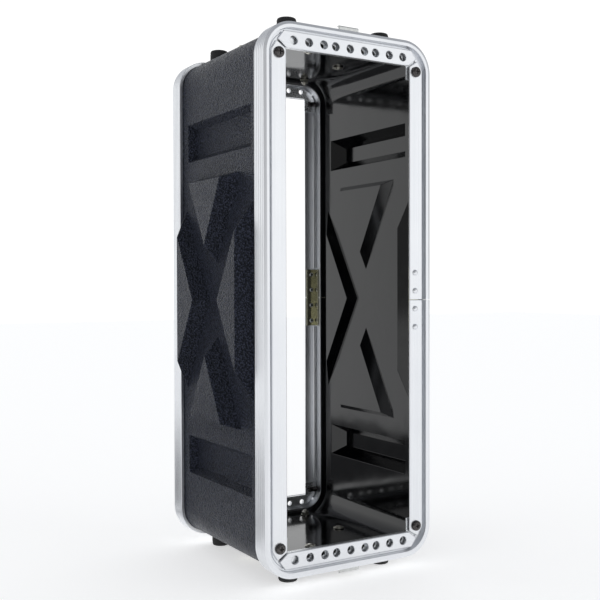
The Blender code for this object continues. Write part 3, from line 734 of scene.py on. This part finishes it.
# ---- moulded body ------------------------------------------------------------
def relief(shape, base, top, face_x, rise, out, soft):
    """Add a drafted pad or pocket to a face and return the ring where it leaves the face.

    base and top are (y, z) outlines with their corner radii, out is the way the face looks
    (1 or -1) and soft is the radius of the fillets at the foot and at the top.
    """
    steps = 6
    lows, highs = (rounded(outline, radius, 8) for outline, radius in (base, top))
    height = abs(rise)
    lift = out * math.copysign(1, rise)
    pairs = []
    for low, high in zip(lows, highs):
        run = (low - high).length
        pairs.append((low, high, (low - high) / run, math.atan2(height, run)))
    rings = []
    for k in range(steps + 1):
        points = []
        for low, _, away, steep in pairs:
            angle = steep * k / steps
            reach = soft * (math.tan(steep / 2) - math.sin(angle))
            points.append((low + away * reach, soft * (1 - math.cos(angle))))
        rings.append(points)
    for k in range(steps, -1, -1):
        points = []
        for _, high, away, steep in pairs:
            angle = steep * k / steps
            reach = soft * (math.sin(angle) - math.tan(steep / 2))
            points.append((high + away * reach, height - soft * (1 - math.cos(angle))))
        rings.append(points)
    numbers = [shape.ring([(face_x + lift * h, p.x, p.y) for p, h in points])
               for points in rings]
    for first, second in zip(numbers, numbers[1:]):
        shape.bridge(first, second)
    shape.fill([numbers[-1]])
    return numbers[0]


def relief_outlines():
    """Return the (base, top) outlines of the pads, pockets and blocks."""
    end_base = [(-46.7, 120.0), (46.7, 120.0), (0.0, 34.5)]
    end_top = [(-35.0, 115.0), (35.0, 115.0), (0.0, 53.0)]
    side_base = [(73.9, 93.5), (73.9, -93.5), (18.3, 0.0)]
    side_top = [(65.0, 65.0), (65.0, -65.0), (27.1, 0.0)]
    pads, pockets, blocks = [], [], []
    for flip in (1, -1):
        for base, top in ((end_base, end_top), (side_base, side_top)):
            pads.append(([(y * flip, z * flip) for y, z in base],
                         [(y * flip, z * flip) for y, z in top]))
        # half length, nearer and farther side, draft of a pocket and of a block
        for half, low, high, draft, group in ((69.1, 140.0, 178.5, 5.0, pockets),
                                              (70.8, 140.8, 177.7, 8.8, blocks)):
            base = [(-half, flip * low), (half, flip * low), (half, flip * high),
                    (-half, flip * high)]
            group.append((base, moved_outline(base, -draft)))
    return pads, pockets, blocks


def add_skin(shape, depth, soft, corner):
    """Add one skin of the body and return its two end rings and the rings of its bores.

    soft is the radius of the reliefs' fillets and corner that of their corners in plan.
    """
    steps = 24
    half_x, half_z, radius = SHELL_X - depth, SHELL_Z - depth, SHELL_CORNER - depth
    flat_x, flat_z = half_x - radius, half_z - radius
    outline = []
    for number, (side_x, side_z) in enumerate(((1, 1), (-1, 1), (-1, -1), (1, -1))):
        for i in range(steps + 1):
            angle = math.pi / 2 * (number + i / steps)
            outline.append((side_x * flat_x + radius * math.cos(angle),
                            side_z * flat_z + radius * math.sin(angle)))
    ends = [shape.ring([(x, y, z) for x, z in outline]) for y in (-SHELL_Y, SHELL_Y)]
    count = steps + 1
    for number in range(4):
        part = slice(number * count, (number + 1) * count)
        shape.bridge(ends[0][part], ends[1][part], closed=False)
    spread = depth * (1 / math.cos(math.radians(30)) - math.tan(math.radians(30)))
    pads, pockets, blocks = relief_outlines()

    def reliefs(groups, face_x, out):
        """Add groups of (outlines, rise) to a face and return their outer rings."""
        rings = []
        for outlines, rise in groups:
            grow = -spread if rise > 0 else spread
            for base, top in outlines:
                rings.append(relief(shape, (moved_outline(base, grow), corner),
                                    (moved_outline(top, grow), corner), face_x, rise, out,
                                    soft))
        return rings

    def side(first, second, holes):
        """Fill the flat side between two corners of the outline, round its holes."""
        shape.fill([[ends[0][first], ends[0][second], ends[1][second], ends[1][first]], *holes])

    side(count - 1 + 3 * count, 0, reliefs([(pads, -PAD_RECESS), (blocks, BLOCK_HEIGHT)],
                                           half_x, 1))
    side(2 * count - 1, 2 * count, reliefs([(pads, PAD_HEIGHT), (pockets, -POCKET_DEPTH)],
                                           -half_x, -1))
    bores = []
    places = [(x, y) for x in (FOOT[0], -FOOT[0]) for y in (FOOT[1], -FOOT[1])]
    places += [BOLT, (-BOLT[0], BOLT[1])]
    for sign in (1, -1):
        bores.append([shape.ring([(x, y, sign * half_z)
                                  for x, y in circle(place, WALL_BORE, 20)])
                      for place in places])
    side(count - 1, count, bores[0])
    side(3 * count - 1, 3 * count, bores[1])
    return ends, bores[0] + bores[1]


def make_shell(grained, glossy):
    """Show the moulded body, grained outside and glossy inside."""
    shape = Shape()
    outer_ends, outer_bores = add_skin(shape, depth=0.0, soft=1.6, corner=0.7)
    shape.slot = 1
    inner_ends, inner_bores = add_skin(shape, depth=WALL, soft=0.6, corner=0.3)
    for first, second in zip(outer_ends + outer_bores, inner_ends + inner_bores):
        shape.bridge(first, second)
    put("abs_shell_fine", shape.mesh("shell"), [grained, glossy], ["abs_shell"])


# ---- rack strips, joints and keepers -----------------------------------------
def make_strips(zinc):
    """Show the four threaded angles behind the end flanges, each blank at its -X end."""
    plain, mirrored = HOLES_X[1:], HOLES_X[:-1]
    low, high = OPENING_Z + 0.2, HALF_Z - LEG_FACE - GAP
    seat = RIM_Y + FLANGE_BACK + GAP
    half, short, step = STRIP_HALF, STRIP_HALF - 7, 1.8
    ear = [(66.4, 212.0), (80.3, 212.0), (80.3, 219.0), (78.0, 227.2), (72.0, 233.9),
           (66.4, 236.2)]
    for place, holes in (("front_top", plain), ("front_bottom", mirrored),
                         ("rear_bottom", plain), ("rear_top", mirrored)):
        shape = Shape()
        outline = [(-half, low), (half, low), (half, high - step), (short, high),
                   (-short, high), (-half, high - step)]
        sheet(shape, outline, [((x, HOLE_ROWS / 2), THREAD_HOLE) for x in holes], STRIP_WEB,
              STRIP_WEB + 2.0)
        block(shape, (-half, seat, low), (half, STRIP_WEB + 1.0, low + 1.5))
        for side in (1, -1):
            sheet(shape, [(side * x, z) for x, z in ear],
                  [((side * CORNER_SCREW[0], CORNER_SCREW[1]), SHANK + GAP)], STRIP_WEB - 1.0,
                  STRIP_WEB + 0.2)
        put("rack_strip_" + place + "_fine", shape.mesh("strip"), [zinc],
            ["rack_strip_" + place], RING_TURNS[place])


def make_joints(zinc, aluminium, black):
    """Show the angle plates behind the rings' joints, and the dome rivets, whose bores are
    painted black as painted shade.
    """
    back = RIM_Y + FLANGE_BACK + GAP
    inner, outer, half = 69.6, HALF_X - LEG_FACE - GAP, JOINT_HALF
    shape = Shape()
    sheet(shape, [(inner, -half), (outer, -half), (outer, half), (inner, half)],
          [((RIVET_X, z), RIVET_SHANK + GAP) for z in RIVET_Z], back, back + JOINT_SHEET)
    block(shape, (outer - 1.6, back + 0.4, -half), (outer, RIM_Y + 13, half))
    mesh = shape.mesh("joint_plate")
    put("joint_plate_front_fine", mesh, [zinc], ["joint_plate_front"])
    put("joint_plate_rear_fine", mesh, [zinc], ["joint_plate_rear"],
        RING_TURNS["rear_bottom"])
    end, shank, bore = JOINT_SHEET + FLANGE_BACK - FLANGE_FRONT + 3 * GAP, RIVET_SHANK, 1.3
    shape = Shape()
    turned(shape, [(0, 1.75), (0.8, 1.68), (1.5, 1.45), (2.1, 1.05), (2.5, 0.55), (2.75, 0.12),
                   (2.7, 0.0), (shank, 0), (shank, -end), (2.3, -end - 0.1),
                   (2.45, -end - 0.6), (2.2, -end - 1.1), (shank, -end - 1.2),
                   (bore + 0.05, -end - 0.9), (bore, -1.0), (0, -0.9)], 32)
    mesh = shape.mesh("rivet")
    # painted shade: the walls of each rivet's bore take the black material for the dark inside
    # the hole
    for face in mesh.polygons:
        if face.center.z < -2 * MM and face.center.xy.length < (bore + 0.04) * MM:
            face.material_index = 1
    for face, side in (("front", -1), ("rear", 1)):
        turn = Matrix.Rotation(-side * math.pi / 2, 4, "X")
        seat = side * (-RIM_Y - FLANGE_FRONT + GAP)
        for number, z in enumerate(RIVET_Z, 1):
            name = f"joint_rivet_{face}_{number}"
            put(name + "_fine", mesh, [aluminium, black], [name], turn,
                (RIVET_X, seat, z))


def make_keepers(zinc):
    """Show the latch keepers on the rings, each with two small rivets."""
    near, base, half = RIM_Y + 4.5, HALF_Z + GAP, 10.9
    sheet_metal, hook, top = 1.3, near + 3.4, base + 4.4
    profile = rounded([(near, base), (near + 12, base), (near + 12, base + sheet_metal),
                       (near + sheet_metal, base + sheet_metal),
                       (near + sheet_metal, top - 1.2), (hook, top - 1.2), (hook, top),
                       (near, top)],
                      [1.2, 0.3, 0.3, 0.3, 0.3, 0.5, 0.5, 1.2], 4)
    shape = Shape()
    prism(shape, profile, -half, half, 0, 0.25)
    for x in (-5.8, 5.8):
        dome = [(0, base + 2.1), (0.9, base + 2.0), (1.6, base + 1.7), (1.9, base + 1.2),
                (0, base + 1.2)]
        turned(shape, dome, 24, (x, near + 8.6))
    mesh = shape.mesh("keeper")
    for place, turn in RING_TURNS.items():
        put(f"keeper_{place}_fine", mesh, [zinc], ["keeper_" + place], turn)


# ---- screws ------------------------------------------------------------------
def cross_recess(top, half, depth):
    """Return a tapered cross that cuts a cross recess into a screw head."""
    width, taper = 0.6, 0.62
    quarter = [(half, -width), (half, width), (width, width)]
    outline = []
    for turn in range(4):
        outline += [Matrix.Rotation(turn * math.pi / 2, 2) @ Vector(at) for at in quarter]
    shape = Shape()
    rings = [shape.ring([(x * grow, y * grow, height) for x, y in outline])
             for grow, height in ((taper, top - depth), (1.0, top + 0.6))]
    shape.bridge(*rings)
    shape.fill([rings[0]])
    shape.fill([rings[1]])
    return shape.mesh("cross")


def screw_mesh(profile, top, half, depth):
    """Return a turned screw whose head, as high as top, has a cross recess."""
    shape = Shape()
    turned(shape, profile)
    return carved(shape.mesh("screw"), cross_recess(top, half, depth))


def thread(start, end):
    """Return the (r, z) profile of a row of thread crests going down from start to end."""
    crest, root, pitch = SHANK, SHANK - 0.35, 0.9
    points = []
    height = start
    while height - pitch > end:
        points += [(root, height), (crest, height - pitch / 2)]
        height -= pitch
    return points + [(root, height), (root, end)]


def make_corner_screws(black):
    """Show the black cross-head screws of the rings' corners and their clip nuts."""
    profile = [(0, 3.0), (2.2, 2.95), (3.4, 2.7), (4.3, 2.2), (4.8, 1.5), (5.0, 0.6),
               (4.95, 0.0), (SHANK, 0.0)]
    profile += thread(-0.3, -11.4) + [(1.4, -12.0), (0, -12.0)]
    screw = screw_mesh(profile, top=3.0, half=2.6, depth=1.9)
    under = RIM_Y + FLANGE_FRONT - STRIP_WEB - 0.2 - 2 * GAP
    shape = Shape()
    block(shape, (-6.0, -2.6, under - 2.4), (4.2, 2.6, under), 0.35)
    nut = shape.mesh("nut")
    mesh = carved(screw, nut, "UNION")
    seat = -RIM_Y - FLANGE_FRONT + GAP
    for face, side in (("front", -1), ("rear", 1)):
        for level, z in (("top", CORNER_SCREW[1]), ("bottom", -CORNER_SCREW[1])):
            for hand, x, spin in (("left", -CORNER_SCREW[0], math.pi),
                                  ("right", CORNER_SCREW[0], 0)):
                name = f"corner_screw_{face}_{level}_{hand}"
                turn = (Matrix.Rotation(spin, 4, "Y")
                        @ Matrix.Rotation(-side * math.pi / 2, 4, "X"))
                put(name + "_fine", mesh, [black], [name], turn,
                    (x, side * seat, z), sharp=30)


def end_turn(side):
    """Return the turn that points local Z out of the upper (1) or lower (-1) end wall."""
    return Matrix.Identity(4) if side > 0 else Matrix.Rotation(math.pi, 4, "Y")


def hexagon_nut(shape, across, low, high):
    """Add a hexagon nut's outside, chamfered at both faces, round Z."""
    rings = []
    for height, grow, sides in ((low, -0.5, 1), (low + 0.4, 0.0, 1), (high - 0.4, 0.0, 1),
                                (high, -0.5, 1)):
        radius = across / 2 / math.cos(math.pi / 6) + grow
        rings.append(shape.ring([(x, y, height) for x, y in circle((0, 0), radius, 6)]))
    for first, second in zip(rings, rings[1:]):
        shape.bridge(first, second)
    shape.fill([rings[0]])
    shape.fill([rings[-1]])


def make_feet(rubber, zinc):
    """Show the rubber feet with their screws, washers and nuts."""
    top, radius = FOOT_HEIGHT, FOOT_RADIUS
    shape = Shape()
    turned(shape, [(2.9, 0), (radius - 0.3, 0), (radius, 0.4), (radius - 0.1, top - 4.2),
                   (radius - 0.35, top - 3.4), (radius - 0.35, top - 3.0),
                   (radius - 0.1, top - 2.4), (radius - 0.5, top - 1.0),
                   (radius - 0.9, top - 0.35), (radius - 1.7, top), (6.5, top), (5.8, top - 0.5),
                   (5.6, top - 1.2), (5.6, 5.3), (5.3, 5.0), (2.9, 5.0), (2.9, 0)], 48)
    foot = shape.mesh("foot")
    grip = WALL + 2 * GAP
    profile = [(0, 8.2), (2.0, 8.1), (3.2, 7.7), (4.1, 6.9), (4.55, 5.9), (4.6, 5.35),
               (SHANK, 5.3), (SHANK, -grip), (4.4, -grip), (4.6, -grip - 0.15),
               (4.6, -grip - 0.75), (4.4, -grip - 0.9), (SHANK, -grip - 0.9)]
    profile += thread(-grip - 0.9, -grip - 5.6) + [(1.6, -grip - 6), (0, -grip - 6)]
    screw = screw_mesh(profile, top=8.2, half=2.5, depth=1.7)
    shape = Shape()
    hexagon_nut(shape, 7.6, -grip - 3.9, -grip - 0.95)
    screw = carved(screw, shape.mesh("nut"), "UNION")
    for level, side in (("top", 1), ("bottom", -1)):
        for face, y in (("front", -FOOT[1]), ("rear", FOOT[1])):
            for hand, x in (("left", -FOOT[0]), ("right", FOOT[0])):
                where = (x, y, side * (SHELL_Z + GAP))
                tag = f"{level}_{face}_{hand}"
                put("foot_" + tag + "_fine", foot, [rubber], ["foot_" + tag],
                    end_turn(side), where)
                put("foot_screw_" + tag + "_fine", screw, [zinc],
                    ["foot_screw_" + tag], end_turn(side), where)


# ---- handles -----------------------------------------------------------------
def saddle_shape():
    """Return the pressed saddle that arches over the handle's pin."""
    bore, plate = ROD + GAP, SADDLE_SHEET
    outer, rise = bore + plate, PIVOT_RISE - GAP
    flat = math.sqrt(outer ** 2 - (rise - plate) ** 2)
    back, front = PIVOT_Y + 9.0, BOLT[1] - 5.5
    outline = [(back, 0.0), (back, plate), (PIVOT_Y + flat + 0.4, plate)]
    outline += [(PIVOT_Y + outer * y, rise + outer * z) for y, z in arc((0, 0), 1, 0, 180, 16)]
    outline += [(PIVOT_Y - flat - 0.4, plate), (front, plate), (front, 0.0),
                (PIVOT_Y - bore, 0.0)]
    outline += [(PIVOT_Y + bore * y, rise + bore * z) for y, z in arc((0, 0), 1, 180, 0, 16)]
    outline.append((PIVOT_Y + bore, 0.0))
    shape = Shape()
    prism(shape, outline, -5.0, 5.0, 0, 0.2)
    return shape.mesh("saddle")


def rod_mesh():
    """Return the bent rod in the pivot's frame, folded flat with its grip at -Y."""
    arm, bend, rise = 43.5, 5.0, GRIP_RISE - PIVOT_RISE
    half = [(57.1, 0, 0), (46.2, 0, 0), (45.2, -0.15, 0.02), (44.3, -0.75, 0.1),
            (43.7, -1.6, 0.2), (arm, -2.7, 0.3)]
    for i in range(9):
        angle = math.pi / 2 * i / 8
        back = REACH - bend + bend * math.sin(angle)
        half.append((arm - bend + bend * math.cos(angle), -back,
                     rise * min(1.0, back / (REACH - bend))))
    points = half + [(-x, y, z) for x, y, z in reversed(half)]
    curve = bpy.data.curves.new("rod", "CURVE")
    curve.dimensions = "3D"
    spline = curve.splines.new("POLY")
    spline.points.add(len(points) - 1)
    for point, place in zip(spline.points, points):
        point.co = (*(part * MM for part in place), 1)
    curve.bevel_depth = ROD * MM
    curve.bevel_resolution = 6
    curve.use_fill_caps = True
    mesh = evaluated(new_object("rod", curve))
    work = bmesh.new()
    work.from_mesh(mesh)
    bmesh.ops.remove_doubles(work, verts=work.verts, dist=1e-6)
    bmesh.ops.recalc_face_normals(work, faces=work.faces)
    work.to_mesh(mesh)
    work.free()
    return mesh


def grip_mesh():
    """Return the rubber grip: a sleeve with shallow grooves round it."""
    half, radius, bore = 34.0, 5.5, ROD + GAP
    profile = [(bore, -half), (radius - 0.9, -half), (radius - 0.3, -half + 0.5),
               (radius, -half + 1.4)]
    place = -half + 6.0
    while place < half - 6.0:
        profile += [(radius, place), (radius - 0.5, place + 0.5), (radius - 0.5, place + 1.1),
                    (radius, place + 1.6)]
        place += 4.4
    profile += [(radius, half - 1.4), (radius - 0.3, half - 0.5), (radius - 0.9, half),
                (bore, half), (bore, -half)]
    shape = Shape()
    turned(shape, profile, 36)
    mesh = shape.mesh("grip")
    mesh.transform(Matrix.Translation(Vector((0, -REACH, GRIP_RISE - PIVOT_RISE)) * MM)
                   @ Matrix.Rotation(math.pi / 2, 4, "Y"))
    return mesh


def bolt_mesh():
    """Return a handle bolt: low head outside, washer and threaded end inside."""
    hold = SADDLE_SHEET + WALL + 3 * GAP
    profile = [(0, 2.4), (1.6, 2.35), (2.8, 2.1), (3.7, 1.5), (4.15, 0.6), (4.2, 0.0),
               (SHANK, 0), (SHANK, -hold), (5.2, -hold), (5.4, -hold - 0.2),
               (5.4, -hold - 1.0), (5.2, -hold - 1.2), (3.6, -hold - 1.2),
               (3.5, -hold - 1.9), (SHANK, -hold - 2.1), (2.2, -hold - 2.4),
               (0, -hold - 2.4)]
    return screw_mesh(profile, top=2.4, half=2.3, depth=1.5)


def make_handles(zinc, rubber):
    """Show the folding handle of each end wall with its saddles, bolts and rest."""
    saddle, rod, grip, bolt = saddle_shape(), rod_mesh(), grip_mesh(), bolt_mesh()
    shape = Shape()
    turned(shape, [(0, 1.2), (4.6, 1.2), (5.3, 0.95), (5.8, 0.4), (6.0, 0), (0, 0)], 40)
    rest = shape.mesh("rest")
    shape = Shape()
    depth = -WALL - GAP
    turned(shape, [(0, depth), (5.2, depth), (5.4, depth - 0.2), (5.4, depth - 1.0),
                   (5.2, depth - 1.2), (3.4, depth - 1.2), (3.2, depth - 2.0),
                   (2.2, depth - 2.5), (0, depth - 2.6)], 36)
    washer = shape.mesh("washer")
    for level, side in (("top", 1), ("bottom", -1)):
        turn = end_turn(side)
        wall = side * (SHELL_Z + GAP)
        for hand, x in (("left", -BOLT[0]), ("right", BOLT[0])):
            tag = f"{level}_{hand}"
            put(f"handle_saddle_{tag}_fine", saddle, [zinc], ["handle_saddle_" + tag],
                turn, (x, 0, wall))
            put(f"handle_bolt_{tag}_fine", bolt, [zinc], ["handle_bolt_" + tag], turn,
                (x, BOLT[1], wall + side * (SADDLE_SHEET + GAP)))
        place = (REST_X, PIVOT_Y - REACH, wall)
        put(f"handle_rest_{level}_fine", rest, [rubber], ["handle_rest_" + level],
            turn, place)
        put(f"handle_rest_washer_{level}", washer, [zinc], [], turn,
            (REST_X, PIVOT_Y - REACH, side * SHELL_Z))
        pivot = (0, PIVOT_Y, side * (SHELL_Z + PIVOT_RISE))
        put(f"handle_rod_{level}_fine", rod, [zinc], ["handle_rod_" + level], turn,
            pivot, "handle_" + level)
        put(f"handle_grip_{level}_fine", grip, [rubber], ["handle_grip_" + level],
            turn, pivot, "handle_" + level)


make_camera()
make_floor()
make_world()
ALUMINIUM, RUBBER, BLACK = satin_aluminium(), matt_rubber(), black_oxide_and_bore_shade()
ZINC = plated_zinc("zinc_plate", (0.60, 0.585, 0.52), 0.3)
make_rings(ALUMINIUM)
make_shell(grained_abs_with_painted_sparkle(), glossy_abs())
make_strips(plated_zinc("zinc_clear", (0.88, 0.90, 0.92), 0.24, 0.85))
make_joints(plated_zinc("zinc_olive", (0.47, 0.46, 0.34), 0.13), ALUMINIUM, BLACK)
make_keepers(plated_zinc("zinc_grey", (0.64, 0.65, 0.64), 0.28))
make_corner_screws(BLACK)
make_feet(RUBBER, ZINC)
make_handles(ZINC, RUBBER)
